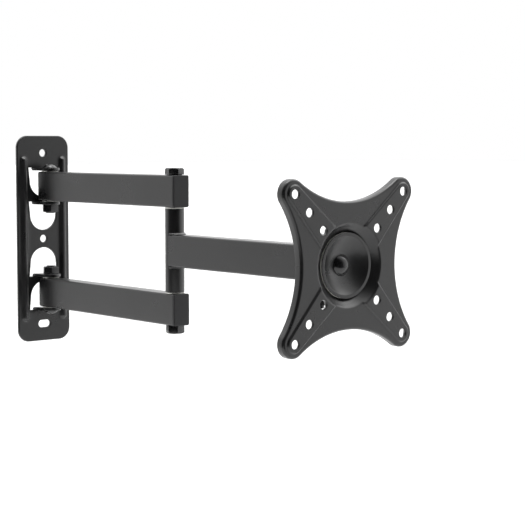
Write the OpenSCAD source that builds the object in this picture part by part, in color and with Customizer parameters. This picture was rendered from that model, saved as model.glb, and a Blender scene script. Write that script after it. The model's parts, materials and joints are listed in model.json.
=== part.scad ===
// Full motion wall mount for a flat screen: wall bracket, two rear arms, one
// front arm, and a ball head with an X-shaped screen plate.
// Frame: origin at the back of the wall plate, on its middle screw hole.
// +X to the right as seen from the room, +Y into the wall, +Z up.
// The arms stand straight out of the wall, along -Y. All sizes in millimetres.

/* [Wall plate] */
// Width of the wall plate
plate_w = 52; // [50:1:58]
// Height of the wall plate
plate_h = 180; // [176:1:196]
// Corner radius of the wall plate
plate_r = 10.5; // [8:0.5:14]
// Thickness of the pressed sheet
sheet_t = 2.5; // [2:0.25:2.5]
// Distance from the middle screw hole to the top hole and to the bottom slot
screw_gap = 75; // [74:0.5:76]
// Diameter of the screw holes and width of the slot
screw_d = 6.5; // [5:0.5:7]
// Overall length of the bottom slot
slot_len = 12; // [10:1:14]
// Height of the two raised beads above the front of the plate
bead_h = 2.5; // [1.5:0.5:2.5]
// Half the length of the beads
bead_half = 72; // [66:1:74]

/* [Clevis tabs] */
// Width of each folded tab at its root
tab_w = 21; // [18:0.5:22]
// Radius of the round end of each tab
tab_r = 8.2; // [7.8:0.1:9]
// Width of the round end of the window that each tab is cut from
window_w = 26.4; // [26:0.2:28]
// Width of each window at the tab
window_top_w = 28.8; // [28:0.2:29]
// Height of each window
window_h = 25; // [25:0.5:26]

/* [Arms] */
// Width of the rectangular arm tube
arm_w = 15; // [15:0.5:16]
// Height of the rectangular arm tube
arm_h = 25; // [24:0.5:25]
// Wall thickness of the arm tubes
arm_wall = 1.5; // [1.2:0.1:2]
// Corner radius of the arm tubes
arm_r = 1.6; // [1.2:0.1:2]
// Height of the upper arm's centre line, and depth of the lower arm's
arm_z = 46.25; // [46:0.25:47]
// Distance from the wall to the wall pivots
wall_pivot = 13.8; // [13.8:0.1:15]
// Rear arm, from the wall pivot to the elbow
rear_len = 181.7; // [150:0.1:220]
// Front arm, from the elbow to the head hinge
front_len = 166; // [140:0.1:200]

/* [Pivots] */
// Diameter of all pivot bolts
bolt_d = 8; // [8:0.1:8]
// Bore of the nylon bushes
bush_bore = 8.15; // [8.1:0.01:8.2]
// Thickness of the bush flanges
flange_t = 0.95; // [0.8:0.05:0.95]
// Outer diameter of the round elbow tube
elbow_d = 15; // [15:0.5:15]

/* [Screen plate] */
// Half of the largest hole spacing of the screen plate
vesa_half = 50; // [50:1:50]
// Diameter of the screen holes
vesa_d = 6.3; // [5:0.1:6.4]
// Radius of the four lobes
lobe_r = 10; // [9:0.5:11]
// Distance from the middle to the waist of each side
waist = 44; // [42:0.5:46]
// Thickness of the screen plate
vesa_t = 2; // [2:0.1:2]
// Depth of the turned-back rim, over all
rim_depth = 6.5; // [4:0.5:7]
// Height of the four raised pads
pad_h = 1.2; // [0.8:0.1:1.4]
// Distance from the head hinge to the front of the screen plate
head_depth = 34.5; // [34.5:0.1:34.5]

/* [Ball head] */
// Radius of the seat, front side
seat_r = 40; // [40:0.1:40]
// Distance of the ball centre in front of the screen plate
ball_ahead = 27.5; // [27.5:0.1:27.5]
// Thickness of each friction liner
liner_t = 1; // [0.8:0.1:1]
// Running gap between the liners and their neighbours
liner_gap = 0.3; // [0.25:0.05:0.3]

/* [Hidden] */
$fn = 72;
e = 1;                                  // overshoot of a cutting tool
y_wall = -wall_pivot;                   // wall pivot axis
y_elbow = y_wall - rear_len;            // elbow axis
y_hinge = y_elbow - front_len;          // head hinge axis
y_face = y_hinge - head_depth;          // front of the screen plate
y_ball = y_face - ball_ahead;           // centre of the ball head
af = 13;                                // across flats, M8
bolt_r = bolt_d / 2;
hole_r = 4.2;                           // clearance hole for M8
bush_r = 5;                             // outside of a bush barrel
hinge_bush_r = 4.75;                    // the same at the head hinge
side_gap = 0.05;                        // gap beside a bush flange
tab_in = arm_h / 2 + flange_t + side_gap; // arm centre to the inside of a tab
tab_top = arm_z + tab_in + sheet_t;     // outside of the outer tabs
tab_low = arm_z - tab_in - sheet_t;     // outside of the inner tabs
elbow_half = arm_z - arm_h / 2 - flange_t - side_gap; // half the elbow tube
cap_t = 1.4;                            // thickness of an end plug's cap
wall_over = 7.8;                        // wall pivot to the arm's wall end
elbow_over = 8.7;                       // elbow axis to the arm's elbow end
hinge_over = 6.4;                       // head hinge to the front arm's end
seat_t = 2;                             // sheet thickness of the seat
rl_in = seat_r + seat_t + liner_gap;    // rear liner, front radius
rl_out = rl_in + liner_t;
rc_in = rl_out + liner_gap;             // rear cup, front radius
rc_out = rc_in + 2.5;
fl_out = seat_r - liner_gap;            // front liner, back radius
fl_in = fl_out - liner_t;
ic_out = fl_in - liner_gap;             // inner cup, back radius
ic_in = ic_out - 1.6;
neck_r = 12;                            // inside of the liner's neck
fork_front = y_ball + rc_out - 0.8;     // front of the fork's base
fork_t = 2.5;
fork_in = arm_h / 2 + flange_t + side_gap; // inside of the fork's ears
fork_r = 12;                            // ear radius
washer_t = 1.2;
plain_nut_h = 6.5;                      // M8 plain nut
steel = [0.13, 0.13, 0.135];
black = [0.07, 0.07, 0.075];
nylon = [0.05, 0.05, 0.05];

// ---- building blocks -------------------------------------------------

// rounded rectangle, centred
module rrect(w, h, r) {
  square([w - 2 * r, h], center = true);
  square([w, h - 2 * r], center = true);
  for (x = [-1, 1], y = [-1, 1])
    translate([x * (w / 2 - r), y * (h / 2 - r)]) circle(r = r, $fn = 32);
}

// a shape drawn in X and Z, drawn out from y0 to y1, y0 > y1
module along_y(y0, y1) {
  translate([0, y0, 0]) rotate([90, 0, 0]) linear_extrude(y0 - y1) children();
}

// six-sided prism, flats facing -Y and +Y, from z = 0 up
module hex(h, turn = 0) {
  rotate([0, 0, turn]) cylinder(r = af / sqrt(3), h = h, $fn = 6);
}

// hexagon nut or head with its outer corners chamfered, from z = 0 up
module hex_chamfered(h, turn = 0) {
  intersection() {
    hex(h, turn);
    union() {
      cylinder(r = 8, h = h - 1.1);
      translate([0, 0, h - 1.1]) cylinder(r1 = 7.9, r2 = 6.15, h = 1.1);
    }
  }
}

// domed button head, from z = 0 up
module dome(d, h) {
  r = (d * d / 4 + h * h) / (2 * h);
  intersection() {
    translate([0, 0, h - r]) sphere(r = r);
    cylinder(r = d / 2 + 1, h = h);
  }
}

// lock nut body with the seat for its nylon ring, from z = 0 up
module lock_nut(turn = 0) {
  difference() {
    union() {
      hex_chamfered(6.2, turn);
      cylinder(r = 5.9, h = 8);
    }
    translate([0, 0, -e]) cylinder(r = bolt_r, h = 8 + 2 * e);
    translate([0, 0, 6]) cylinder(r = 5.1, h = 1.4);
  }
}

module nut_ring() {
  difference() {
    translate([0, 0, 6]) cylinder(r = 5.1, h = 1.4);
    cylinder(r = bolt_r, h = 9);
  }
}

// flanged bush, flange from z = 0 to flange_t, barrel below
module bush(r, barrel, flange_r) {
  difference() {
    union() {
      cylinder(r = flange_r, h = flange_t);
      translate([0, 0, -barrel]) cylinder(r = r, h = barrel + flange_t);
    }
    translate([0, 0, -barrel - e]) cylinder(d = bush_bore, h = barrel + flange_t + 2 * e);
  }
}

// rectangular arm tube from y0 to y1, y0 > y1
module arm_tube(y0, y1) {
  difference() {
    along_y(y0, y1) rrect(arm_w, arm_h, arm_r);
    along_y(y0 + e, y1 - e)
      rrect(arm_w - 2 * arm_wall, arm_h - 2 * arm_wall, arm_r - 1);
  }
}

// end plug: cap outside the tube, insert inside; s = 1 closes the +Y end
module end_plug(y_end, s, cap, depth, y_axis, clear_r) {
  ins_w = arm_w - 2 * arm_wall - 0.2;
  ins_h = arm_h - 2 * arm_wall - 0.2;
  difference() {
    union() {
      if (s > 0) {
        along_y(y_end, y_end - cap) rrect(arm_w, arm_h, arm_r);
        along_y(y_end - cap, y_end - cap - depth) rrect(ins_w, ins_h, 0.8);
      } else {
        along_y(y_end + cap, y_end) rrect(arm_w, arm_h, arm_r);
        along_y(y_end + cap + depth, y_end + cap) rrect(ins_w, ins_h, 0.8);
      }
    }
    translate([0, y_axis, -arm_h]) cylinder(r = clear_r, h = 2 * arm_h);
  }
}

// ---- wall bracket ------------------------------------------------------

// window that ends square at z_top and round below it
module window(z_top) {
  r = window_w / 2;
  t = window_top_w / 2;
  zc = z_top - window_h + r;
  translate([0, zc]) circle(r = r);
  polygon([[-r, zc], [r, zc], [t, z_top], [-t, z_top]]);
}

// tab whose outer face is at z_out; up = 1 if the outer face looks up
module tab(z_out, up) {
  // sides run from the root to touch the round end
  w = tab_w / 2;
  far = sqrt(w * w + y_wall * y_wall);
  a = atan2(w, -y_wall) + acos(tab_r / far);
  tx = tab_r * sin(a);
  ty = y_wall + tab_r * cos(a);
  translate([0, 0, z_out]) mirror([0, 0, up > 0 ? 0 : 1]) difference() {
    union() {
      intersection() {
        translate([0, 0, -sheet_t]) linear_extrude(sheet_t)
          polygon([[-w, 0], [-tx, ty], [0, y_wall], [tx, ty], [w, 0]]);
        union() {
          translate([-tab_w, y_wall - e, -sheet_t - e])
            cube([2 * tab_w, -y_wall - sheet_t + e, sheet_t + 2 * e]);
          translate([-tab_w, -sheet_t, 0]) rotate([0, 90, 0])
            cylinder(r = sheet_t, h = 2 * tab_w);
        }
      }
      translate([0, y_wall, -sheet_t]) cylinder(r = tab_r, h = sheet_t);
    }
    translate([0, y_wall, -sheet_t - e]) cylinder(r = hole_r, h = sheet_t + 2 * e);
  }
}

module wall_plate() {
  bead_x = 19.5;
  bead_w = 7;
  br = (bead_w * bead_w / 4 + bead_h * bead_h) / (2 * bead_h);
  by = -sheet_t - bead_h + br;
  bz = bead_half - bead_w / 2;
  color(steel) {
    difference() {
      union() {
        along_y(0, -sheet_t) difference() {
          rrect(plate_w, plate_h, plate_r);
          for (s = [0, 1]) mirror([0, s]) {
            window(tab_top);
            window(tab_low + sheet_t);
          }
        }
        // raised beads
        intersection() {
          translate([-plate_w / 2, -sheet_t - bead_h - e, -plate_h / 2])
            cube([plate_w, bead_h + e + 0.5, plate_h]);
          union() for (x = [-bead_x, bead_x]) {
            translate([x, by, -bz]) cylinder(r = br, h = 2 * bz);
            for (z = [-bz, bz]) translate([x, by, z]) sphere(r = br);
          }
        }
      }
      // grooves pressed in behind the beads
      for (x = [-bead_x, bead_x]) {
        translate([x, by, -bz]) cylinder(r = 1.4, h = 2 * bz);
        translate([x - 1.4, by, -bz]) cube([2.8, 2 * br, 2 * bz]);
      }
      // screw holes and slot
      for (z = [0, screw_gap]) translate([0, e, z]) rotate([90, 0, 0])
        cylinder(d = screw_d, h = sheet_t + 2 * e);
      for (x = [-1, 1]) translate([x * (slot_len - screw_d) / 2, e, -screw_gap])
        rotate([90, 0, 0]) cylinder(d = screw_d, h = sheet_t + 2 * e);
      translate([-(slot_len - screw_d) / 2, -sheet_t - e, -screw_gap - screw_d / 2])
        cube([slot_len - screw_d, sheet_t + 2 * e, screw_d]);
    }
    for (s = [0, 1]) mirror([0, 0, s]) {
      tab(tab_top, 1);
      tab(tab_low + sheet_t, 1);
    }
  }
}

// M8 button head bolt, head outside the outer tab
module wall_pivot_bolts() {
  color(black) for (s = [0, 1]) mirror([0, 0, s]) difference() {
    union() {
      translate([0, y_wall, tab_top]) dome(12.4, 3.6);
      translate([0, y_wall, tab_low - plain_nut_h - 0.8])
        cylinder(r = bolt_r, h = tab_top - tab_low + plain_nut_h + 0.8);
    }
    translate([0, y_wall, tab_top + 1.4]) rotate([0, 0, 20])
      cylinder(r = 2.3, h = 4, $fn = 6);
  }
}

module wall_pivot_nuts() {
  color(black) for (s = [0, 1]) mirror([0, 0, s])
    translate([0, y_wall, tab_low]) mirror([0, 0, 1]) difference() {
      hex_chamfered(plain_nut_h, 3);
      translate([0, 0, -e]) cylinder(r = bolt_r, h = 9);
    }
}

// ---- rear arms -----------------------------------------------------------

module rear_arm() {
  difference() {
    arm_tube(y_wall + wall_over - cap_t, y_elbow - elbow_over + cap_t);
    translate([0, y_wall, -arm_h]) cylinder(r = bush_r, h = 2 * arm_h);
    translate([0, y_elbow, -arm_h]) cylinder(r = hole_r, h = 2 * arm_h);
  }
}

module upper_rear_arm() { color(steel) translate([0, 0, arm_z]) rear_arm(); }
module lower_rear_arm() { color(steel) translate([0, 0, -arm_z]) rear_arm(); }

module wall_end_plugs() {
  color(nylon) for (z = [-arm_z, arm_z]) translate([0, 0, z])
    end_plug(y_wall + wall_over, 1, cap_t, 5, y_wall, bush_r + 0.3);
}

module elbow_end_plugs() {
  color(nylon) for (z = [-arm_z, arm_z]) translate([0, 0, z])
    end_plug(y_elbow - elbow_over, -1, cap_t, 4, y_elbow, 6.3);
}

module wall_pivot_bushes() {
  color(nylon) for (z = [-arm_z, arm_z], s = [0, 1])
    translate([0, y_wall, z]) mirror([0, 0, s])
      translate([0, 0, arm_h / 2]) bush(bush_r, 7, 7.2);
}

// M8 hexagon bolt through both arms and the elbow tube
module elbow_bolt() {
  top = arm_z + arm_h / 2;
  color(black) translate([0, y_elbow, 0]) {
    translate([0, 0, top]) cylinder(r = 6.2, h = 0.4);
    translate([0, 0, top + 0.4]) hex_chamfered(5.2, 18);
    translate([0, 0, -top - 6.5]) cylinder(r = bolt_r, h = 2 * top + 6.9);
  }
}

module elbow_nut() {
  color(black) translate([0, y_elbow, -arm_z - arm_h / 2]) mirror([0, 0, 1])
    difference() {
      hex_chamfered(6.5, 10);
      translate([0, 0, -e]) cylinder(r = bolt_r, h = 9);
    }
}

// sleeves inside the arms, so that the bolt can't crush the tubes
module elbow_spacers() {
  color("silver") for (z = [-arm_z, arm_z])
    translate([0, y_elbow, z - arm_h / 2 + arm_wall]) difference() {
      cylinder(r = 5.8, h = arm_h - 2 * arm_wall);
      translate([0, 0, -e]) cylinder(r = hole_r, h = arm_h);
    }
}

// ---- front arm -------------------------------------------------------------

module elbow_tube() {
  color(steel) translate([0, y_elbow, -elbow_half]) difference() {
    cylinder(d = elbow_d, h = 2 * elbow_half);
    translate([0, 0, -e]) cylinder(r = elbow_d / 2 - 2, h = 2 * elbow_half + 2 * e);
  }
}

module front_arm() {
  color(steel) difference() {
    arm_tube(y_elbow - 1.5, y_hinge - hinge_over + cap_t - 0.4);
    translate([0, y_elbow, -arm_h]) cylinder(d = elbow_d, h = 2 * arm_h);
    translate([0, y_hinge, -arm_h]) cylinder(r = hinge_bush_r, h = 2 * arm_h);
  }
}

// fillet welds above and below the front arm, round the elbow tube
module elbow_welds() {
  r = elbow_d / 2;
  color(steel) for (s = [0, 1]) mirror([0, 0, s]) translate([0, y_elbow, arm_h / 2])
    rotate([0, 0, 200]) rotate_extrude(angle = 140)
      polygon([[r, 0], [r + 1.6, 0], [r + 0.9, 0.9], [r, 1.6]]);
}

module elbow_bushes() {
  color(nylon) for (s = [0, 1]) mirror([0, 0, s])
    translate([0, y_elbow, elbow_half]) bush(elbow_d / 2 - 2, 12, elbow_d / 2);
}

module head_end_plug() {
  color(nylon) intersection() {
    end_plug(y_hinge - hinge_over, -1, 1, 4, y_hinge, hinge_bush_r + 0.3);
    translate([0, y_hinge, -arm_h]) cylinder(r = 9.5, h = 2 * arm_h);
  }
}

module hinge_bushes() {
  color(nylon) for (s = [0, 1]) mirror([0, 0, s])
    translate([0, y_hinge, arm_h / 2]) bush(hinge_bush_r, 7, 7.2);
}

// ---- head bracket ----------------------------------------------------------

module head_fork() {
  out = fork_in + fork_t;
  color(steel) difference() {
    intersection() {
      // U section, bent round the arm's end
      translate([-fork_r, 0, 0]) rotate([90, 0, 90]) linear_extrude(2 * fork_r)
        difference() {
          translate([fork_front + 40, 0]) rrect(80, 2 * out, 3.5);
          translate([fork_front + fork_t + 40, 0]) rrect(80, 2 * fork_in, 1);
        }
      // plan view of the ears
      translate([0, 0, -out - e]) linear_extrude(2 * out + 2 * e) {
        translate([-fork_r, fork_front - e]) square([2 * fork_r, y_hinge - fork_front + e]);
        translate([0, y_hinge]) circle(r = fork_r);
      }
    }
    translate([0, y_hinge, -out - e]) cylinder(r = hole_r, h = 2 * out + 2 * e);
    translate([0, fork_front + fork_t + e, 0]) rotate([90, 0, 0])
      cylinder(r = hole_r, h = fork_t + 2 * e);
  }
}

module hinge_bolt() {
  under = fork_in + fork_t + washer_t;
  color(black) translate([0, y_hinge, 0]) difference() {
    union() {
      translate([0, 0, under]) dome(14, 4.4);
      translate([0, 0, under - 50]) cylinder(r = bolt_r, h = 50);
    }
    translate([0, 0, under + 1.6]) cylinder(r = 2.89, h = 4, $fn = 6);
  }
}

module hinge_washers() {
  out = fork_in + fork_t;
  color("silver") for (s = [0, 1]) mirror([0, 0, s]) translate([0, y_hinge, out])
    difference() {
      cylinder(r = 8, h = washer_t);
      translate([0, 0, -e]) cylinder(r = hole_r, h = washer_t + 2 * e);
    }
}

// plain nut under the fork, held by a lock nut below it
module hinge_plain_nut() {
  color(black) translate([0, y_hinge, -fork_in - fork_t - washer_t])
    mirror([0, 0, 1]) difference() {
      hex_chamfered(plain_nut_h, 24);
      translate([0, 0, -e]) cylinder(r = bolt_r, h = 9);
    }
}

module hinge_nut() {
  color(black) translate([0, y_hinge, -fork_in - fork_t - washer_t - plain_nut_h])
    mirror([0, 0, 1]) lock_nut(0);
}

module hinge_nut_ring() {
  color(nylon) translate([0, y_hinge, -fork_in - fork_t - washer_t - plain_nut_h])
    mirror([0, 0, 1]) nut_ring();
}

// shell between two radii about the ball centre, behind the plane at depth d
module ball_shell(r_in, r_out, d) {
  difference() {
    intersection() {
      translate([0, y_ball, 0]) sphere(r = r_out, $fn = 200);
      translate([-60, y_ball + d, -60]) cube([120, 60, 120]);
    }
    translate([0, y_ball, 0]) sphere(r = r_in, $fn = 200);
  }
}

// round hole or bar along Y, through the ball head
module ball_bar(r, y0, y1) {
  translate([0, y0, 0]) rotate([90, 0, 0]) cylinder(r = r, h = y0 - y1);
}

module rear_cup() {
  color(steel) difference() {
    ball_shell(rc_in, rc_out, 38);
    translate([-40, fork_front, -40]) cube([80, 20, 80]);
    ball_bar(hole_r, fork_front + e, y_ball);
  }
}

module inner_cup() {
  color(steel) difference() {
    ball_shell(ic_in, ic_out, 30.6);
    translate([-4.1, y_ball, -4.1]) cube([8.2, 60, 8.2]);
  }
}

// domed bolt with a square neck, from the cup to the thin nut
module clamp_bolt() {
  seat = y_ball + sqrt(ic_in * ic_in - 7.5 * 7.5);
  color(black) {
    translate([0, seat, 0]) rotate([90, 0, 0]) dome(15, 4);
    translate([-4, seat, -4]) cube([8, y_ball + ic_out - seat, 8]);
    ball_bar(bolt_r, fork_front + fork_t + 4, seat);
  }
}

module clamp_nut() {
  color(black) translate([0, fork_front + fork_t, 0]) rotate([-90, 0, 0])
    difference() {
      hex_chamfered(4, 0);
      translate([0, 0, -e]) cylinder(r = bolt_r, h = 6);
    }
}

// ---- friction liners ---------------------------------------------------------

module front_liner() {
  color(nylon) difference() {
    union() {
      ball_shell(fl_in, fl_out, 32.5);
      intersection() {
        ball_bar(neck_r + 1, y_ball + 60, y_ball + 30);
        translate([0, y_ball, 0]) difference() {
          sphere(r = rl_in, $fn = 200);
          sphere(r = fl_in, $fn = 200);
        }
      }
    }
    ball_bar(neck_r, y_ball + 60, y_ball);
  }
}

module rear_liner() {
  color(nylon) difference() {
    ball_shell(rl_in, rl_out, 36.5);
    ball_bar(neck_r, y_ball + 60, y_ball);
  }
}

// ---- screen plate -------------------------------------------------------------

// outline of the screen plate, moved in by d
module x_outline(d) {
  r_side = (pow(waist - vesa_half, 2) + pow(vesa_half, 2) - pow(lobe_r, 2))
    / (2 * (lobe_r - (waist - vesa_half)));
  c = waist + r_side;
  k = r_side / (r_side + lobe_r);
  tx = c + (vesa_half - c) * k;         // where side arc and lobe meet
  tz = vesa_half * k;
  difference() {
    polygon([[tx, -tz], [tx, tz], [vesa_half, vesa_half], [tz, tx], [-tz, tx],
      [-vesa_half, vesa_half], [-tx, tz], [-tx, -tz], [-vesa_half, -vesa_half],
      [-tz, -tx], [tz, -tx], [vesa_half, -vesa_half]]);
    for (a = [0:90:270]) rotate(a) translate([c, 0]) circle(r = r_side + d, $fn = 180);
  }
  for (x = [-1, 1], z = [-1, 1]) translate([x * vesa_half, z * vesa_half])
    circle(r = lobe_r - d);
}

// raised pad along one diagonal, drawn along +X from x0, smaller by d all round
module pad_outline(x0, d) {
  far = vesa_half * sqrt(2);
  w = 9.1 - (x0 - 30.5) * 0.0767 - d;
  translate([far, 0]) circle(r = 6 - d);
  polygon([[x0, -w], [x0, w], [far + 0.35, 5.99 - d], [far + 0.35, -5.99 + d]]);
}

module screen_plate() {
  color(steel) difference() {
    union() {
      // face, with its bent edge rounded in steps
      along_y(y_face + 0.15, y_face) x_outline(1.45);
      along_y(y_face + 0.45, y_face + 0.15) x_outline(0.95);
      along_y(y_face + 0.95, y_face + 0.45) x_outline(0.5);
      along_y(y_face + vesa_t, y_face + 0.95) x_outline(0.12);
      // turned-back rim
      along_y(y_face + rim_depth, y_face + vesa_t) difference() {
        x_outline(0);
        x_outline(vesa_t);
      }
      // pads
      along_y(y_face + 0.5, y_face - pad_h)
        for (a = [45:90:315]) rotate(a) pad_outline(26, 0);
      // dished seat of the ball head
      intersection() {
        translate([0, y_ball, 0]) sphere(r = seat_r + seat_t, $fn = 200);
        translate([-40, y_face, -40]) cube([80, 40, 80]);
      }
    }
    // hollows pressed in behind the pads
    along_y(y_face + vesa_t + e, y_face + vesa_t - pad_h)
      for (a = [45:90:315]) rotate(a) pad_outline(33.5, 1.2);
    translate([0, y_ball, 0]) sphere(r = seat_r, $fn = 200);
    ball_bar(neck_r + 1.3, y_ball + 60, y_ball);
    for (k = [1, 0.75, 0.5], x = [-1, 1], z = [-1, 1])
      translate([x * k * vesa_half, y_face + 10, z * k * vesa_half])
        rotate([90, 0, 0]) cylinder(d = vesa_d, h = 20);
  }
}

wall_plate();
wall_pivot_bolts();
wall_pivot_nuts();
upper_rear_arm();
lower_rear_arm();
wall_end_plugs();
elbow_end_plugs();
wall_pivot_bushes();
elbow_bolt();
elbow_nut();
elbow_spacers();
elbow_tube();
front_arm();
elbow_welds();
elbow_bushes();
head_end_plug();
hinge_bushes();
head_fork();
hinge_bolt();
hinge_washers();
hinge_plain_nut();
hinge_nut();
hinge_nut_ring();
rear_cup();
inner_cup();
clamp_bolt();
clamp_nut();
front_liner();
rear_liner();
screen_plate();
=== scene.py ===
import json
import math

import bmesh
import bpy
from mathutils import Matrix, Vector

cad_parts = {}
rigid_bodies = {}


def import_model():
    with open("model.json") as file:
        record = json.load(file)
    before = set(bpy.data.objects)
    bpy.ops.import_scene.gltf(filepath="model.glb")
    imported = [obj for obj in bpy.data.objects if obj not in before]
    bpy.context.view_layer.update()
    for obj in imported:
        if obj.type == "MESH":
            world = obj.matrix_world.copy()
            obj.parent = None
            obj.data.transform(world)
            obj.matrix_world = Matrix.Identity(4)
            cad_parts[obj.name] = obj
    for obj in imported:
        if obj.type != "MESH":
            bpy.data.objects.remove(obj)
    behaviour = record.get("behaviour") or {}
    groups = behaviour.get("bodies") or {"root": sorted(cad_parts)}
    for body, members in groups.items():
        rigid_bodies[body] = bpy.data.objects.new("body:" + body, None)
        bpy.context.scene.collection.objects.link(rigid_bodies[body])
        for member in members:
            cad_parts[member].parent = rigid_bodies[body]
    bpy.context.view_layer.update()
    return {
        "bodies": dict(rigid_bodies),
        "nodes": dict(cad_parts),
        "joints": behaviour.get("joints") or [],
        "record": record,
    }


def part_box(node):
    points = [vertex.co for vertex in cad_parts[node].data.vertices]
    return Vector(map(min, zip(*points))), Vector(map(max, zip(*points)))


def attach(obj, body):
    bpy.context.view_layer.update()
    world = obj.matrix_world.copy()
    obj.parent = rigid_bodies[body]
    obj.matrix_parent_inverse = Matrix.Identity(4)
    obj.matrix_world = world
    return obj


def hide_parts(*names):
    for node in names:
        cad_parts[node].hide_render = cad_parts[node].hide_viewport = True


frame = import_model()
NODES = frame["nodes"]
SLOT = {}
for entry in frame["record"]["materials"]:
    SLOT[entry["slot"]] = entry
MM = 0.001


# ---------------------------------------------------------------- materials
def new_material(name):
    m = bpy.data.materials.new(name)
    m.use_nodes = True
    nt = m.node_tree
    nt.nodes.clear()
    out = nt.nodes.new("ShaderNodeOutputMaterial")
    bsdf = nt.nodes.new("ShaderNodeBsdfPrincipled")
    nt.links.new(bsdf.outputs["BSDF"], out.inputs["Surface"])
    return m, nt, bsdf


def coords(nt):
    return nt.nodes.new("ShaderNodeTexCoord").outputs["Object"]


def noise(nt, vec, scale, detail=3.0, rough=0.5):
    n = nt.nodes.new("ShaderNodeTexNoise")
    n.inputs["Scale"].default_value = scale
    n.inputs["Detail"].default_value = detail
    n.inputs["Roughness"].default_value = rough
    nt.links.new(vec, n.inputs["Vector"])
    return n.outputs["Fac"]


def ramp(nt, fac, lo, hi, a=0.35, b=0.65):
    r = nt.nodes.new("ShaderNodeMapRange")
    r.inputs["From Min"].default_value = a
    r.inputs["From Max"].default_value = b
    r.inputs["To Min"].default_value = lo
    r.inputs["To Max"].default_value = hi
    nt.links.new(fac, r.inputs["Value"])
    return r.outputs["Result"]


def bump(nt, height, strength, distance, normal=None):
    b = nt.nodes.new("ShaderNodeBump")
    b.inputs["Strength"].default_value = strength
    b.inputs["Distance"].default_value = distance
    nt.links.new(height, b.inputs["Height"])
    if normal is not None:
        nt.links.new(normal, b.inputs["Normal"])
    return b.outputs["Normal"]


def finish_material(name, color, rough_lo, rough_hi, metallic=0.0, specular=0.5,
                    grain=0.0, grain_scale=1400.0, peel=0.0, peel_scale=260.0):
    m, nt, bsdf = new_material(name)
    bsdf.inputs["Base Color"].default_value = (*color, 1.0)
    bsdf.inputs["Metallic"].default_value = metallic
    bsdf.inputs["Specular IOR Level"].default_value = specular
    vec = coords(nt)
    patch = noise(nt, vec, 38.0, 2.0)
    nt.links.new(ramp(nt, patch, rough_lo, rough_hi), bsdf.inputs["Roughness"])
    normal = None
    if peel > 0:
        normal = bump(nt, noise(nt, vec, peel_scale, 2.0), peel, 0.00012)
    if grain > 0:
        normal = bump(nt, noise(nt, vec, grain_scale, 3.0, 0.6), grain, 0.00006, normal)
    if normal is not None:
        nt.links.new(normal, bsdf.inputs["Normal"])
    return m


MATS = {
    "powder_coat": finish_material("powder_coat", (0.0095, 0.0095, 0.0099), 0.27, 0.33,
                                   specular=0.5, grain=0.22, peel=0.16),
    "black_fastener": finish_material("black_fastener", (0.008, 0.008, 0.0085), 0.19, 0.26,
                                      metallic=0.0, specular=0.5, grain=0.08, peel=0.08),
    "zinc_steel": finish_material("zinc_steel", (0.52, 0.53, 0.55), 0.25, 0.36,
                                  metallic=1.0, grain=0.1),
    "nylon": finish_material("nylon", (0.62, 0.62, 0.58), 0.42, 0.52, grain=0.15),
    "black_plastic": finish_material("black_plastic", (0.011, 0.011, 0.012), 0.36, 0.46, specular=0.32,
                                     grain=0.3, peel=0.2),
}


def node_slots(part, table):
    """Material slot of every CAD node, as the record gives it."""
    if isinstance(part, dict):
        if "material_slot" in part and isinstance(part.get("name", part.get("node")), str):
            table[part.get("name", part.get("node"))] = part["material_slot"]
        for v in part.values():
            node_slots(v, table)
    elif isinstance(part, list):
        for v in part:
            node_slots(v, table)
    return table


SLOTS_OF = node_slots(frame, {})

for name, obj in NODES.items():
    slot = SLOTS_OF.get(name)
    mat = MATS[slot] if slot in MATS else MATS["powder_coat"]
    obj.data.materials.clear()
    obj.data.materials.append(mat)
    obj.data.shade_smooth()
    w = obj.modifiers.new("weld", "WELD")
    w.merge_threshold = 0.000004
    b = obj.modifiers.new("edge", "BEVEL")
    b.width = 0.0002 if slot == "black_fastener" else 0.00035
    b.segments = 3
    b.limit_method = "ANGLE"
    b.angle_limit = math.radians(35)
    b.harden_normals = True
    b.use_clamp_overlap = True

# ---------------------------------------------------------------- mesh helpers (all in millimetres, turned into metres)
def round_poly(points, radii, segs=6):
    """Closed polygon with its corners rounded. A radius of 0 keeps the corner."""
    out = []
    n = len(points)
    for i in range(n):
        p0, p1, p2 = Vector(points[i - 1]), Vector(points[i]), Vector(points[(i + 1) % n])
        r = radii[i] if isinstance(radii, (list, tuple)) else radii
        a, b = (p0 - p1), (p2 - p1)
        la, lb = a.length, b.length
        if r <= 0 or la < 1e-6 or lb < 1e-6:
            out.append((p1.x, p1.y))
            continue
        a.normalize()
        b.normalize()
        half = math.acos(max(-1.0, min(1.0, a.dot(b)))) / 2
        if half > math.radians(88):
            out.append((p1.x, p1.y))
            continue
        t = min(r / math.tan(half), 0.49 * la, 0.49 * lb)
        rr = t * math.tan(half)
        c = p1 + (a + b).normalized() * (rr / math.sin(half))
        s, e = p1 + a * t - c, p1 + b * t - c
        a0, a1 = math.atan2(s.y, s.x), math.atan2(e.y, e.x)
        d = (a1 - a0 + math.pi) % (2 * math.pi) - math.pi
        for k in range(segs + 1):
            ang = a0 + d * k / segs
            out.append((c.x + rr * math.cos(ang), c.y + rr * math.sin(ang)))
    return out


def make_object(name, verts, faces, slot, body, sharp=38.0):
    me = bpy.data.meshes.new(name)
    me.from_pydata([(v[0] * MM, v[1] * MM, v[2] * MM) for v in verts], [], faces)
    bm = bmesh.new()
    bm.from_mesh(me)
    bmesh.ops.remove_doubles(bm, verts=bm.verts, dist=4e-6)
    bmesh.ops.dissolve_degenerate(bm, dist=1e-8, edges=bm.edges)
    bmesh.ops.recalc_face_normals(bm, faces=bm.faces)
    bm.to_mesh(me)
    bm.free()
    me.materials.append(MATS[slot])
    me.shade_smooth()
    me.set_sharp_from_angle(angle=math.radians(sharp))
    ob = bpy.data.objects.new(name, me)
    bpy.context.scene.collection.objects.link(ob)
    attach(ob, body)
    return ob


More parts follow.
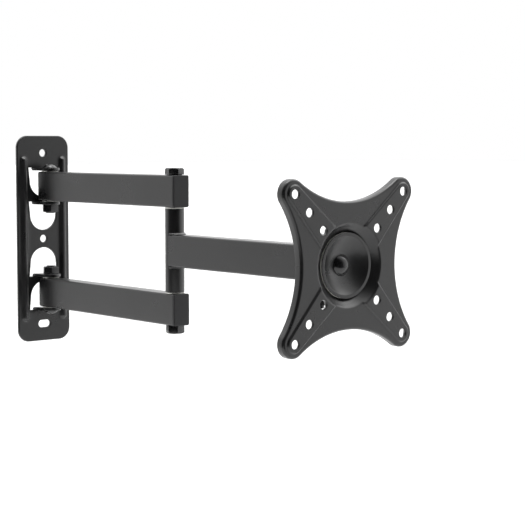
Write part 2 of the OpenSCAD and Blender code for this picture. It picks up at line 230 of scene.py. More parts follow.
def lathe(profile, place, segs=96):
    """Closed (r, h) profile turned about an axis; place(x, y, h) puts it in the row frame. Returns (verts, faces)."""
    verts, faces, rows = [], [], []
    for r, h in profile:
        if r < 1e-6:
            rows.append([len(verts)])
            verts.append(place(0.0, 0.0, h))
        else:
            base = len(verts)
            for k in range(segs):
                a = 2 * math.pi * k / segs
                verts.append(place(r * math.cos(a), r * math.sin(a), h))
            rows.append(list(range(base, base + segs)))
    n = len(rows)
    for i in range(n):
        a, b = rows[i], rows[(i + 1) % n]
        if len(a) == 1 and len(b) == 1:
            continue
        for k in range(segs):
            k2 = (k + 1) % segs
            if len(a) == 1:
                faces.append((a[0], b[k], b[k2]))
            elif len(b) == 1:
                faces.append((a[k], b[0], a[k2]))
            else:
                faces.append((a[k], b[k], b[k2], a[k2]))
    return verts, faces


def join(*parts):
    verts, faces = [], []
    for v, f in parts:
        o = len(verts)
        verts += v
        faces += [tuple(i + o for i in q) for q in f]
    return verts, faces


def smooth_max(a, b, k):
    h = max(0.0, min(1.0, 0.5 + 0.5 * (a - b) / k))
    return b + (a - b) * h + k * h * (1 - h)


def in_loop(x, y, loop):
    inside = False
    n = len(loop)
    j = n - 1
    for i in range(n):
        xi, yi = loop[i]
        xj, yj = loop[j]
        if (yi > y) != (yj > y) and x < (xj - xi) * (y - yi) / (yj - yi) + xi:
            inside = not inside
        j = i
    return inside


def triangulate(loops, points, keep):
    """Constrained Delaunay of closed loops and free points; keep(x, z) says which triangles stay."""
    coords, edges, seen = [], [], {}

    def add(p, near):
        key = (round(p[0] / near), round(p[1] / near))
        for i in (-1, 0, 1):
            for j in (-1, 0, 1):
                for q in seen.get((near, key[0] + i, key[1] + j), ()):
                    if (q[0] - p[0]) ** 2 + (q[1] - p[1]) ** 2 < near * near:
                        return None
        seen.setdefault((near, key[0], key[1]), []).append(p)
        coords.append(Vector((p[0], p[1])))
        return len(coords) - 1

    for loop in loops:
        base = len(coords)
        for p in loop:
            coords.append(Vector((p[0], p[1])))
            seen.setdefault((0.16, round(p[0] / 0.16), round(p[1] / 0.16)), []).append(p)
        n = len(loop)
        edges += [(base + i, base + (i + 1) % n) for i in range(n)]
    n_fixed = len(coords)
    for p in points:
        add(p, 0.16)
    from mathutils.geometry import delaunay_2d_cdt
    out = delaunay_2d_cdt(coords, edges, [], 0, 1e-6)
    vco, faces = out[0], out[2]
    tris = []
    for f in faces:
        cx = sum(vco[i][0] for i in f) / len(f)
        cz = sum(vco[i][1] for i in f) / len(f)
        if keep(cx, cz):
            tris.append(tuple(f))
    return [(v[0], v[1]) for v in vco], tris, n_fixed


# ---------------------------------------------------------------- screen plate
HALF, LOBE, WAIST = 50.0, 10.0, 44.0
R_SIDE = ((WAIST - HALF) ** 2 + HALF ** 2 - LOBE ** 2) / (2 * (LOBE - (WAIST - HALF)))
C_SIDE = WAIST + R_SIDE
T_ANG = math.atan2(-HALF, C_SIDE - HALF)


def x_ring(d, n_lobe=44, n_side=40):
    pts = []
    for q in range(4):
        rot = q * math.pi / 2
        quarter = []
        a0, a1 = T_ANG, math.pi / 2 - T_ANG
        for k in range(n_lobe):
            a = a0 + (a1 - a0) * k / n_lobe
            quarter.append((HALF + (LOBE - d) * math.cos(a), HALF + (LOBE - d) * math.sin(a)))
        b0 = math.atan2(HALF + LOBE * math.sin(a1) - C_SIDE, HALF + LOBE * math.cos(a1))
        b1 = -math.pi - b0
        for k in range(n_side):
            b = b0 + (b1 - b0) * k / n_side
            quarter.append(((R_SIDE + d) * math.cos(b), C_SIDE + (R_SIDE + d) * math.sin(b)))
        c, s = math.cos(rot), math.sin(rot)
        pts += [(x * c - z * s, x * s + z * c) for x, z in quarter]
    return pts


def strip(rings, close=False):
    """Quads between successive rings of the same length; each ring is a list of (x, y, z)."""
    verts, faces = [], []
    n = len(rings[0])
    for r in rings:
        verts += r
    m = len(rings)
    for i in range(m if close else m - 1):
        a, b = i * n, ((i + 1) % m) * n
        for k in range(n):
            k2 = (k + 1) % n
            faces.append((a + k, a + k2, b + k2, b + k))
    return verts, faces


def screen_plate():
    lo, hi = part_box("screen_plate")
    y_face, rim, pad_h, t_sheet = -396.0, 6.5, 1.2, 2.0
    ball = -423.5
    hole_r, edge_r = 3.15, 0.4
    holes = [(sx * k * HALF, sz * k * HALF) for k in (1, 0.75, 0.5) for sx in (-1, 1) for sz in (-1, 1)]
    far = HALF * math.sqrt(2)
    bore = 13.3
    d_in = 2.5

    def pad_s(x, z):
        best = -99.0
        for sx in (-1, 1):
            for sz in (-1, 1):
                u = (x * sx + z * sz) / math.sqrt(2)
                v = abs(x * sx - z * sz) / math.sqrt(2)
                if u < 0:
                    continue
                if u > far:
                    s = 6 - math.hypot(u - far, v)
                else:
                    s = min(9.1 - (u - 30.5) * 0.0767 - v, u - 20)
                if s > best:
                    best, bu = s, u
        return best, (bu if best > -99 else 0)

    def flank(s, width):
        f = max(0.0, min(1.0, (s + width / 2) / width))
        return f * f * (3 - 2 * f)

    def hole_drop(x, z, r_e):
        m = min(math.hypot(x - hx, z - hz) for hx, hz in holes) - hole_r
        m = max(0.0, m)
        if m >= r_e:
            return 0.0
        return r_e - math.sqrt(max(0.0, r_e * r_e - (r_e - m) ** 2))

    def front(x, z):
        s, u = pad_s(x, z)
        h = pad_h * flank(s, 1.5)
        r = math.hypot(x, z)
        t = -h
        if r < 34:
            t = smooth_max(t, -27.5 + math.sqrt(1600 - min(r, 39) ** 2), 0.9)
        return t + hole_drop(x, z, edge_r)

    def back(x, z):
        s, u = pad_s(x, z)
        h = pad_h * flank(min(s - 1.2, u - 33.5), 1.5)
        r = math.hypot(x, z)
        t = t_sheet - h
        if r < 36:
            t = smooth_max(t, -27.5 + math.sqrt(1764 - min(r, 41) ** 2), 0.9)
        return t - hole_drop(x, z, edge_r)

    outer = x_ring(d_in)
    inner = [(bore * math.cos(2 * math.pi * k / 96), bore * math.sin(2 * math.pi * k / 96)) for k in range(96)]
    hole_loops = [[(hx + hole_r * math.cos(2 * math.pi * k / 40), hz + hole_r * math.sin(2 * math.pi * k / 40))
                   for k in range(40)] for hx, hz in holes]
    pts = []
    for dd in (0.10, 0.24, 0.42, 1.0):
        for hx, hz in holes:
            pts += [(hx + (hole_r + dd) * math.cos(2 * math.pi * (k + 0.5 * (dd > 0.3)) / 40),
                     hz + (hole_r + dd) * math.sin(2 * math.pi * (k + 0.5 * (dd > 0.3)) / 40)) for k in range(40)]
    for r in (15, 18, 21, 23.5, 25.5, 27, 27.8, 28.3, 28.6, 28.85, 29.05, 29.25, 29.5, 29.75, 29.95, 30.15, 30.35,
              30.6, 30.9, 31.3, 32, 33.2):
        n = int(max(90, 2 * math.pi * r / 1.05))
        pts += [(r * math.cos(2 * math.pi * k / n), r * math.sin(2 * math.pi * k / n)) for k in range(n)]
    for sx in (-1, 1):
        for sz in (-1, 1):
            for off in (-0.95, -0.72, -0.5, -0.3, -0.1, 0.1, 0.3, 0.5, 0.72, 0.95, -1.9):
                u = 30.3
                row = []
                while u < far:
                    v = 9.1 - (u - 30.5) * 0.0767 - off
                    row += [(u, v), (u, -v)]
                    u += 1.1
                for k in range(25):
                    a = -math.pi / 2 + math.pi * k / 24
                    row.append((far + (6 - off) * math.cos(a), (6 - off) * math.sin(a)))
                for u, v in row:
                    pts.append(((u * sx - v * sz) / math.sqrt(2), (u * sz + v * sx) / math.sqrt(2)))
            u = 33.5
    g = -60.0
    while g <= 60:
        h = -60.0
        while h <= 60:
            pts.append((g, h))
            h += 2.4
        g += 2.4
    edge_loop = x_ring(d_in + 0.25)
    big = []
    for x, z in pts:
        r = math.hypot(x, z)
        if r < bore + 0.3:
            continue
        if min(math.hypot(x - hx, z - hz) for hx, hz in holes) < hole_r + 0.06:
            continue
        if not in_loop(x, z, edge_loop):
            continue
        big.append((x, z))

    def keep(x, z):
        if math.hypot(x, z) < bore:
            return False
        for hx, hz in holes:
            if math.hypot(x - hx, z - hz) < hole_r * 0.998:
                return False
        return in_loop(x, z, outer)

    xy, tris, _ = triangulate([outer, inner] + hole_loops, big, keep)
    used = sorted({i for t in tris for i in t})
    index = {v: i for i, v in enumerate(used)}
    fv = [(xy[i][0], y_face + front(*xy[i]), xy[i][1]) for i in used]
    bv = [(xy[i][0], y_face + back(*xy[i]), xy[i][1]) for i in used]
    ff = [tuple(index[i] for i in t) for t in tris]
    parts = [(fv, ff), (bv, [tuple(reversed(f)) for f in ff])]
    for loop in hole_loops + [inner]:
        parts.append(strip([[(x, y_face + front(x, z), z) for x, z in loop],
                            [(x, y_face + back(x, z), z) for x, z in loop]]))
    prof = [(d_in, 0.0)]
    for k in range(0, 13):
        a = math.pi / 2 * k / 12
        prof.append((2 - 2 * math.sin(a), 2 - 2 * math.cos(a)))
    e2 = 0.45
    for k in range(0, 6):
        a = math.pi / 2 * k / 5
        prof.append((e2 - e2 * math.cos(a), rim - e2 + e2 * math.sin(a)))
    for k in range(0, 6):
        a = math.pi / 2 * k / 5
        prof.append((2 - e2 + e2 * math.sin(a), rim - e2 + e2 * math.cos(a)))
    for k in range(0, 6):
        a = math.pi / 2 * k / 5
        prof.append((2.5 - 0.5 * math.cos(a), 2.5 - 0.5 * math.sin(a)))
    rings = []
    for d, t in prof:
        if d < d_in - 1e-6:
            rings.append([(x, y_face + t, z) for x, z in x_ring(d)])
        else:
            rings.append([(x, y_face + (front(x, z) if t < 1 else back(x, z)), z) for x, z in outer])
    parts.append(strip(rings))
    v, f = join(*parts)
    ob = make_object("screen_plate_sheet", v, f, "powder_coat", "screen_plate", 40)
    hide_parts("screen_plate")
    return ob


screen_plate()


# ---------------------------------------------------------------- ball head, seen from the screen side
def ball_arc(radius, r0, r1, n):
    """Points (r, depth) on a sphere about the ball centre."""
    out = []
    for k in range(n + 1):
        r = r0 + (r1 - r0) * k / n
        out.append((r, math.sqrt(radius * radius - r * r)))
    return out


def on_ball(x, y, h):
    return (x, -423.5 + h, y)


def inner_cup():
    cut = 30.6
    ri, ro = math.sqrt(36.8 ** 2 - cut ** 2), math.sqrt(38.4 ** 2 - cut ** 2)
    outer = ball_arc(38.4, ro - 1.0, 4.6, 22)
    inner = ball_arc(36.8, 4.6, ri - 1.1, 26)
    n_o, n_i = len(outer), len(inner)
    poly = [(ri, cut), (ro, cut)] + outer + inner
    radii = [0.85, 0.55] + [0] * (n_o + n_i)
    v, f = lathe(round_poly(poly, radii, 7), on_ball, 128)
    ob = make_object("inner_cup_pressing", v, f, "powder_coat", "head_bracket", 45)
    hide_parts("inner_cup")


def dome_profile(d, h, ease=0.35):
    """Domed head from the middle out to its flat underside at 0."""
    r = (d * d / 4 + h * h) / (2 * h)
    pts = []
    a1 = math.asin(min(1.0, (d / 2 - ease) / r))
    for k in range(19):
        a = a1 * k / 18
        pts.append((r * math.sin(a), h - r + r * math.cos(a)))
    x, y = pts[-1]
    pts += [(d / 2 - ease * 0.25, y * 0.55), (d / 2, y * 0.15 + 0.02), (d / 2 - 0.12, 0.0)]
    return pts


def clamp_bolt():
    seat = math.sqrt(36.8 ** 2 - 7.5 ** 2)
    head = dome_profile(15, 4.0, 0.5) + [(3.9, 0.0), (0.0, 0.0)]
    v1, f1 = lathe(head, lambda x, y, h: (x, -423.5 + seat - h, y), 96)
    neck = round_poly([(-4, -4), (4, -4), (4, 4), (-4, 4)], 0.4, 3)
    v2, f2 = strip([[(x, -423.5 + seat, z) for x, z in neck], [(x, -423.5 + 38.4, z) for x, z in neck]])
    f2 = f2 + [tuple(range(len(neck))), tuple(range(2 * len(neck) - 1, len(neck) - 1, -1))]
    y1 = -375.7 + 4.0
    shank = [(0.0, 0.0), (4.0, 0.0), (4.0, y1 - (-423.5 + seat) - 0.6), (3.4, y1 - (-423.5 + seat)), (0.0, y1 - (-423.5 + seat))]
    v3, f3 = lathe(shank, lambda x, y, h: (x, -423.5 + seat + h, y), 48)
    v, f = join((v1, f1), (v2, f2), (v3, f3))
    ob = make_object("clamp_bolt_domed", v, f, "black_fastener", "head_bracket", 40)
    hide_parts("clamp_bolt")


inner_cup()
clamp_bolt()


# ---------------------------------------------------------------- arms
def rr_ring(w, h, r, n=8):
    pts = []
    for cx, cz, a0 in ((w / 2 - r, h / 2 - r, 0), (-w / 2 + r, h / 2 - r, 90), (-w / 2 + r, -h / 2 + r, 180),
                       (w / 2 - r, -h / 2 + r, 270)):
        for k in range(n + 1):
            a = math.radians(a0 + 90 * k / n)
            pts.append((cx + r * math.cos(a), cz + r * math.sin(a)))
    return pts


def box_tube(y0, y1, z, w=15.0, h=25.0, r=1.6, wall=1.5, ease=0.3):
    """Rectangular tube from y0 to y1 (y0 > y1), with its end edges eased."""
    rings = []

    def ring(d, y):
        rings.append([(x, y, z + q) for x, q in rr_ring(w - 2 * d, h - 2 * d, max(0.25, r - d))])

    for y, s in ((y0, -1), (y1, 1)):
        seq = [(wall, 0.0), (wall - ease * 0.4, 0.0), (ease, 0.0), (ease * 0.45, ease * 0.12), (ease * 0.12, ease * 0.45), (0.0, ease),
               (0.0, ease + 0.4)]
        if s > 0:
            seq = seq[::-1]
        for d, t in seq:
            ring(d, y + s * t)
    ring(wall, y1 + 0.001)
    ring(wall, y0 - 0.001)
    return strip(rings, close=True)


def plug(y_end, s, cap, z, round_r=None, y_axis=0.0, ease=0.45):
    """Cap of an end plug; s = -1 when its outside faces -Y."""
    rings = []
    w, h, r = 15.0, 25.0, 1.6

    def ring(d, y):
        pts = []
        for x, q in rr_ring(w - 2 * d, h - 2 * d, max(0.3, r - d)):
            yy = y
            if round_r:
                lim = math.sqrt(max(0.0, round_r * round_r - x * x))
                yy = max(y, y_axis - lim) if s < 0 else min(y, y_axis + lim)
            pts.append((x, yy, z + q))
        rings.append(pts)

    inner = y_end - s * cap
    for d, t in ((3.2, 0.0), (0.6, 0.0), (0.12, 0.06), (0.0, 0.2)):
        ring(d, inner + s * t)
    for k in range(0, 6):
        a = math.pi / 2 * k / 5
        ring(ease - ease * math.cos(a), y_end - s * (ease - ease * math.sin(a)))
    for d in (2.0, 4.0, 5.8):
        ring(d, y_end)
    v, f = strip(rings)
    n = len(rings[0])
    f.append(tuple(range(n)))
    f.append(tuple(range(len(v) - 1, len(v) - n - 1, -1)))
    return v, f


def arms():
    for name, z in (("upper_rear_arm", 46.25), ("lower_rear_arm", -46.25)):
        lo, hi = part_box(name)
        ob = make_object(name + "_tube", *box_tube(hi.y / MM, lo.y / MM, z), "powder_coat", "rear_arms", 50)
        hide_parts(name)
    lo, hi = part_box("front_arm")
    ob = make_object("front_arm_tube", *box_tube(hi.y / MM, lo.y / MM, 0.0), "powder_coat", "front_arm", 50)
    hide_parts("front_arm")
    for name, s, body in (("wall_end_plugs", 1, "rear_arms"), ("elbow_end_plugs", -1, "rear_arms")):
        lo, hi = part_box(name)
        y_end = (hi.y if s > 0 else lo.y) / MM
        v, f = join(plug(y_end, s, 1.4, 46.25), plug(y_end, s, 1.4, -46.25))
        ob = make_object(name + "_caps", v, f, "black_plastic", body, 50)
        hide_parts(name)
    lo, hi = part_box("head_end_plug")
    v, f = plug(lo.y / MM, -1, 1.0, 0.0, 9.5, -361.5, 0.3)
    ob = make_object("head_end_plug_cap", v, f, "black_plastic", "front_arm", 50)
    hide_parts("head_end_plug")


arms()


def elbow_tube():
    lo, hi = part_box("elbow_tube")
    z0, z1 = lo.z / MM, hi.z / MM
    prof = round_poly([(5.5, z0), (7.5, z0), (7.5, z1), (5.5, z1)], 0.35, 4)
    v, f = lathe(prof, lambda x, y, h: (x, -195.5 + y, h), 128)
    ob = make_object("elbow_tube_turned", v, f, "powder_coat", "front_arm", 50)
    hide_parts("elbow_tube")


elbow_tube()


# ---------------------------------------------------------------- wall plate
def wall_plate():
    lo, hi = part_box("wall_plate")
    W, H, R, T = 52.0, 180.0, 10.5, 2.5
    y_piv = -13.8
    tab_top, tab_low = 62.25, 30.25 + T
    win_h, win_r, win_t = 25.0, 13.2, 14.4
    bead_h, bead_x, bead_z = 2.5, 19.5, 72.2
    screw_r, slot = 3.25, 2.75

    def plate_ring(d, n=14):
        pts = []
        for cx, cz, a0 in ((W / 2 - R, H / 2 - R, 0), (-W / 2 + R, H / 2 - R, 90), (-W / 2 + R, -H / 2 + R, 180),
                           (W / 2 - R, -H / 2 + R, 270)):
            for k in range(n + 1):
                a = math.radians(a0 + 90 * k / n)
                pts.append((cx + (R - d) * math.cos(a), cz + (R - d) * math.sin(a)))
            x0, z0 = pts[-1]
            nxt = {0: (-1, 0), 90: (0, -1), 180: (1, 0), 270: (0, 1)}[a0]
            run = (W if nxt[0] else H) - 2 * R
            m = int(run / 3.0)
            for k in range(1, m):
                pts.append((x0 + nxt[0] * run * k / m, z0 + nxt[1] * run * k / m))
        return pts

    def window_ring(z_top, up, d):
        """D-shaped window, grown by d; square end at z_top."""
        zc = -win_h + win_r
        pts = []
        slope = (win_t - win_r) / (-zc)
        for k in range(33):
            a = math.pi + math.pi * k / 32
            pts.append(((win_r + d) * math.cos(a), zc + (win_r + d) * math.sin(a)))
        m = 20
        for k in range(1, m):
            z = zc + (d - zc) * k / m
            pts.append((win_r + d + slope * (z - zc), z))
        n = 14
        xt = win_t + d
        for k in range(n + 1):
            x = xt - 2 * xt * k / n
            pts.append((x, d))
        for k in range(m - 1, 0, -1):
            z = zc + (d - zc) * k / m
            pts.append((-(win_r + d + slope * (z - zc)), z))
        return [(x, up * (z_top + z)) for x, z in pts]

    def round_ring(cx, cz, d, half=0.0, n=20):
        pts = []
        for k in range(n + 1):
            a = -math.pi / 2 + math.pi * k / n
            pts.append((cx + half + (screw_r + d) * math.cos(a), cz + (screw_r + d) * math.sin(a)))
        for k in range(n + 1):
            a = math.pi / 2 + math.pi * k / n
            pts.append((cx - half + (screw_r + d) * math.cos(a), cz + (screw_r + d) * math.sin(a)))
        out = []
        for p in pts:
            if not out or math.hypot(p[0] - out[-1][0], p[1] - out[-1][1]) > 0.02:
                out.append(p)
        if math.hypot(out[0][0] - out[-1][0], out[0][1] - out[-1][1]) < 0.02:
            out.pop()
        return out

    cuts = [lambda d, zt=zt, up=up: window_ring(zt, up, d) for zt in (tab_top, tab_low) for up in (1, -1)]
    cuts += [lambda d, z=z: round_ring(0, z, d) for z in (0.0, 75.0)]
    cuts += [lambda d: round_ring(0, -75.0, d, slot)]

    def bead(x, z):
        """0 outside, 1 on the crest of a bead."""
        ax, az = abs(abs(x) - bead_x), abs(z)
        c = bead_z - 3.5
        r = math.hypot(ax, az - c) if az > c else ax
        s = (3.5 - r) / 2.5
        if s <= -0.3:
            return 0.0
        k = 0.22
        up = smooth_max(s, 0.0, k)
        return 1.0 - smooth_max(1.0 - up, 0.0, k)

    edge = 0.5

    def edge_gap(x, z):
        """Distance to the nearest cut edge or outer edge, only where it is small."""
        m = 9.0
        ax, az = abs(x), abs(z)
        for zt in (tab_top, tab_low):
            zc = zt - win_h + win_r
            if az < zc:
                q = math.hypot(x, az - zc) - win_r
            else:
                side = ax - (win_r + (win_t - win_r) * (az - zc) / (zt - zc))
                top = az - zt
                q = max(side, top) if min(side, top) < 0 else math.hypot(side, top)
                if side < 0 and top < 0:
                    q = max(side, top)
            if q >= -0.2:
                m = min(m, max(0.0, q))
        for z0 in (0.0, 75.0):
            q = math.hypot(x, z - z0) - screw_r
            if q >= -0.2:
                m = min(m, max(0.0, q))
        q = math.hypot(max(0.0, ax - slot), z + 75.0) - screw_r
        if q >= -0.2:
            m = min(m, max(0.0, q))
        return m

    def drop(x, z):
        m = edge_gap(x, z)
        if m >= edge:
            return 0.0
        # the root of a tab carries on into the tab
        for zt in (tab_top, tab_low):
            if abs(x) < 10.6 and abs(abs(z) - zt) < edge + 0.05 and abs(z) >= zt - 0.05:
                return 0.0
        return edge - math.sqrt(max(0.0, edge * edge - (edge - m) ** 2))

    def front(x, z):
        return -T - bead_h * 0.985 * bead(x, z) + drop(x, z)

    def back(x, z):
        g = bead(x, z)
        return -1.7 * max(0.0, (g - 0.35) / 0.65) - drop(x, z) * 0.6

    d_in = 0.9
    outer = plate_ring(d_in)
    loops = [c(0.0) for c in cuts]
    pts = []
    for c in cuts:
        for d in (0.12, 0.28, 0.5, 1.1):
            pts += c(d)
    zc = bead_z - 3.5
    for sx in (-1, 1):
        for off in (3.95, 3.7, 3.45, 3.15, 2.7, 2.2, 1.7, 1.25, 1.0, 0.75, 0.4, 0.0):
            z = -zc
            while z <= zc:
                pts.append((sx * bead_x + off, z))
                if off:
                    pts.append((sx * bead_x - off, z))
                z += 1.6
            if off:
                for up in (1, -1):
                    for k in range(17):
                        a = math.pi * k / 16
                        pts.append((sx * bead_x + off * math.cos(a), up * (zc + off * math.sin(a))))
    x = -25.5
    while x < 26:
        z = -89.5
        while z < 90:
            if math.hypot(abs(abs(x) - bead_x), max(0.0, abs(z) - zc)) > 5.0:
                pts.append((x, z))
            z += 2.6
        x += 2.6
    guard = plate_ring(d_in + 0.3)
    solid = [c(0.09) for c in cuts]
    big = [(x, z) for x, z in pts if in_loop(x, z, guard) and not any(in_loop(x, z, l) for l in solid)]
    hard = [c(0.0) for c in cuts]

    def keep(x, z):
        return in_loop(x, z, outer) and not any(in_loop(x, z, l) for l in hard)

    xy, tris, _ = triangulate([outer] + loops, big, keep)
    used = sorted({i for t in tris for i in t})
    index = {v: i for i, v in enumerate(used)}
    fv = [(xy[i][0], front(*xy[i]), xy[i][1]) for i in used]
    bv = [(xy[i][0], back(*xy[i]), xy[i][1]) for i in used]
    ff = [tuple(index[i] for i in t) for t in tris]
    parts = [(fv, ff), (bv, [tuple(reversed(f)) for f in ff])]
    for loop in loops:
        parts.append(strip([[(x, front(x, z), z) for x, z in loop], [(x, back(x, z), z) for x, z in loop]]))
    rings = [[(x, front(x, z), z) for x, z in outer]]
    for k in range(0, 7):
        a = math.pi / 2 * k / 6
        rings.append([(x, -T + 0.8 - 0.8 * math.cos(a), z) for x, z in plate_ring(0.8 - 0.8 * math.sin(a))])
    for k in range(0, 4):
        a = math.pi / 2 * k / 3
        rings.append([(x, -0.25 + 0.25 * math.sin(a), z) for x, z in plate_ring(0.25 - 0.25 * math.cos(a))])
    rings.append([(x, back(x, z), z) for x, z in outer])
    parts.append(strip(rings))

    # folded tabs: bent out of the window's straight edge, with a hole for the pivot bolt
    half, end_r, hole_r = 10.5, 8.2, 4.2
    far = math.hypot(half, y_piv)
    a_t = math.atan2(half, -y_piv) + math.acos(end_r / far)
    tx, ty = end_r * math.sin(a_t), y_piv + end_r * math.cos(a_t)

    def tab_ring(d):
        """Flat outline from the root round the end and back, moved in by d. v is the distance out of the wall."""
        pts = []
        a0 = math.atan2(ty - y_piv, tx)
        n = 28
        nx, ny = math.cos(a0), math.sin(a0)
        root_x = half
        for k in range(7):
            f = k / 6
            px, py = root_x + (tx - root_x) * f, 0 + ty * f
            pts.append((px - nx * d, min(0.0, py - ny * d)))
        for k in range(1, n + 1):
            a = a0 + (-math.pi - 2 * a0) * k / n
            pts.append(((end_r - d) * math.cos(a), y_piv + (end_r - d) * math.sin(a)))
        for k in range(5, -1, -1):
            f = k / 6
            px, py = root_x + (tx - root_x) * f, 0 + ty * f
            pts.append((-(px - nx * d), min(0.0, py - ny * d)))
        return pts

    bend_in, bend_out = 0.001, T

    def on_tab(x, v, h, z_out, up):
        """v: distance out of the wall; h: depth below the tab's outside face."""
        y = v
        z = -h
        return (x, y, up * (z_out + z))

    e = 0.4
    for z_out in (tab_top, tab_low):
        for up in (1, -1):
            rings = []

            def ring(d, h, cut=None):
                row = []
                for x, y in tab_ring(d):
                    yy = y
                    hh = h
                    if y > -T:
                        # quarter round at the root, on the window side
                        lim = -T + math.sqrt(max(0.0, T * T - h * h)) if h > 0 else 0.0
                        yy = min(y, lim)
                    row.append(on_tab(x, yy, hh, z_out, up))
                rings.append(row)

            for k in range(0, 5):
                a = math.pi / 2 * k / 4
                ring(e - e * math.sin(a), e - e * math.cos(a))
            for h in (0.9, 1.3, 1.7):
                ring(0.0, h)
            for k in range(0, 5):
                a = math.pi / 2 * k / 4
                ring(e - e * math.cos(a), T - e + e * math.sin(a))
            side_v, side_f = strip(rings)
            n = len(rings[0])
            # cap both faces round the hole
            circ = [(hole_r * math.cos(2 * math.pi * k / 48), y_piv + hole_r * math.sin(2 * math.pi * k / 48)) for k in range(48)]
            flat = tab_ring(e)
            txy, ttris, _ = triangulate([flat, circ], [(x, y) for x, y in [(0, -4), (4, -5), (-4, -5), (7, -10), (-7, -10)]],
                                        lambda a, b, flat=flat: in_loop(a, b, flat) and math.hypot(a, b - y_piv) > hole_r * 0.999)
            tu = sorted({i for t in ttris for i in t})
            ti = {v: i for i, v in enumerate(tu)}
            tf = [tuple(ti[i] for i in t) for t in ttris]

            def face(h):
                out = []
                for i in tu:
                    x, y = txy[i]
                    if y > -T:
                        lim = -T + math.sqrt(max(0.0, T * T - h * h)) if h > 0 else 0.0
                        y = min(y, lim)
                    out.append(on_tab(x, y, h, z_out, up))
                return out

            parts += [(side_v, side_f), (face(0.0), tf), (face(T), [tuple(reversed(f)) for f in tf])]
            parts.append(strip([[on_tab(x, y, 0.0, z_out, up) for x, y in circ], [on_tab(x, y, T, z_out, up) for x, y in circ]]))
    v, f = join(*parts)
    ob = make_object("wall_plate_pressing", v, f, "powder_coat", "wall_bracket", 42)
    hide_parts("wall_plate")


wall_plate()


# ---------------------------------------------------------------- stage
def stage_plane(name, corners, color, rough=0.9):
    me = bpy.data.meshes.new(name)
    me.from_pydata(corners, [], [list(range(len(corners)))])
    ob = bpy.data.objects.new(name, me)
    bpy.context.scene.collection.objects.link(ob)
    m, nt, bsdf = new_material(name)
    bsdf.inputs["Base Color"].default_value = (*color, 1.0)
    bsdf.inputs["Roughness"].default_value = rough
    bsdf.inputs["Specular IOR Level"].default_value = 0.1
    me.materials.append(m)
    return ob


FLOOR_Z = -0.42
stage_plane("floor", [(-1.05, -1.25, FLOOR_Z), (30, -1.25, FLOOR_Z), (30, 30, FLOOR_Z), (-1.05, 30, FLOOR_Z)],
            (0.88, 0.88, 0.88))

world = bpy.data.worlds.new("studio")
bpy.context.scene.world = world
world.use_nodes = True
wn = world.node_tree
wn.nodes.clear()


def w_node(kind, **values):
    n = wn.nodes.new(kind)
    for k, v in values.items():
        setattr(n, k, v)
    return n


def w_dot(direction):
    n = w_node("ShaderNodeVectorMath", operation="DOT_PRODUCT")
    wn.links.new(w_dir, n.inputs[0])
    n.inputs[1].default_value = Vector(direction).normalized()
    return n.outputs["Value"]


def w_step(value, a, b, lo, hi):
    n = w_node("ShaderNodeMapRange", interpolation_type="SMOOTHSTEP")
    wn.links.new(value, n.inputs["Value"])
    n.inputs["From Min"].default_value = a
    n.inputs["From Max"].default_value = b
    n.inputs["To Min"].default_value = lo
    n.inputs["To Max"].default_value = hi
    return n.outputs["Result"]


def w_math(op, a, b):
    n = w_node("ShaderNodeMath", operation=op)
    for i, v in enumerate((a, b)):
        if isinstance(v, (int, float)):
            n.inputs[i].default_value = v
        else:
            wn.links.new(v, n.inputs[i])
    return n.outputs[0]


w_dir = wn.nodes.new("ShaderNodeTexCoord").outputs["Generated"]
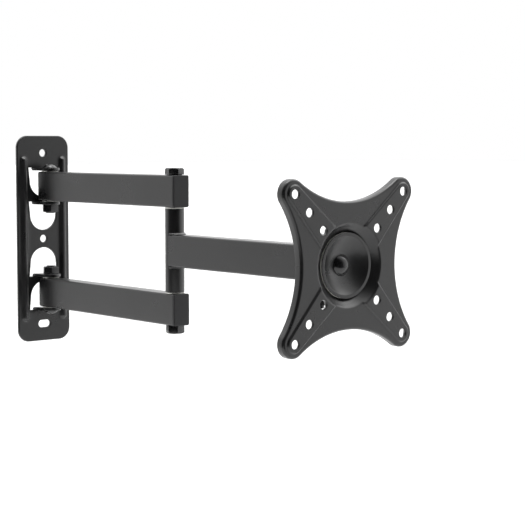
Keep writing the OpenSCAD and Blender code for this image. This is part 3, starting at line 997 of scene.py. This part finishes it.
# a white room with a dark side in front, a lighter back wall and a bright ceiling
level = w_step(w_dot((0.0, 1.0, 0.0)), -0.55, 0.75, 0.62, 1.22)
level = w_math("ADD", level, w_step(w_dot((0.0, 0.0, 1.0)), 0.25, 0.9, 0.0, 1.0))
level = w_math("ADD", level, w_step(w_dot((1.0, 0.1, 0.05)), 0.55, 0.95, 0.0, 0.6))
level = w_math("ADD", level, w_step(w_dot((0.66, -0.75, -0.02)), 0.62, 0.97, 0.0, 0.72))
level = w_math("ADD", level, w_step(w_dot((0.64, -0.08, 0.77)), 0.86, 0.97, 0.0, 2.2))
level = w_math("MULTIPLY", level, w_step(w_dot((-0.72, -0.69, -0.05)), 0.04, 0.58, 1.0, 0.02))
lit = w_node("ShaderNodeBackground")
lit.inputs["Color"].default_value = (1, 1, 1, 1)
wn.links.new(level, lit.inputs["Strength"])
seen = w_node("ShaderNodeBackground")
seen.inputs["Color"].default_value = (1, 1, 1, 1)
seen.inputs["Strength"].default_value = 1.0
rays = wn.nodes.new("ShaderNodeLightPath")
mix = wn.nodes.new("ShaderNodeMixShader")
wn.links.new(rays.outputs["Is Camera Ray"], mix.inputs[0])
wn.links.new(lit.outputs[0], mix.inputs[1])
wn.links.new(seen.outputs[0], mix.inputs[2])
wn.links.new(mix.outputs[0], wn.nodes.new("ShaderNodeOutputWorld").inputs["Surface"])


def area(name, loc, target, size, power, size_y=None, color=(1, 1, 1)):
    ld = bpy.data.lights.new(name, "AREA")
    ld.energy = power
    ld.color = color
    ld.size = size
    if size_y:
        ld.shape = "RECTANGLE"
        ld.size_y = size_y
    ob = bpy.data.objects.new(name, ld)
    ob.location = loc
    ob.rotation_euler = (Vector(target) - Vector(loc)).to_track_quat("-Z", "Y").to_euler()
    bpy.context.scene.collection.objects.link(ob)
    return ob


area("top", (0.0, -0.35, 1.5), (0, -0.25, 0), 0.7, 16, 0.9)

# ---------------------------------------------------------------- camera
scene = bpy.context.scene
cam_data = bpy.data.cameras.new("camera")
cam = bpy.data.objects.new("camera", cam_data)
scene.collection.objects.link(cam)
cam_data.sensor_width = 36.0
cam_data.lens = 105.57
cam_data.clip_end = 200
cam_data.dof.use_dof = False
cam.location = (-0.71639, -1.16296, 0.08357)
aim = Vector((0.6380, 0.7661, -0.0773))
cam.rotation_euler = aim.to_track_quat("-Z", "Y").to_euler()
scene.camera = cam
scene.view_settings.view_transform = "Standard"
scene.view_settings.look = "None"
scene.view_settings.exposure = 0.0
scene.view_settings.gamma = 1.0
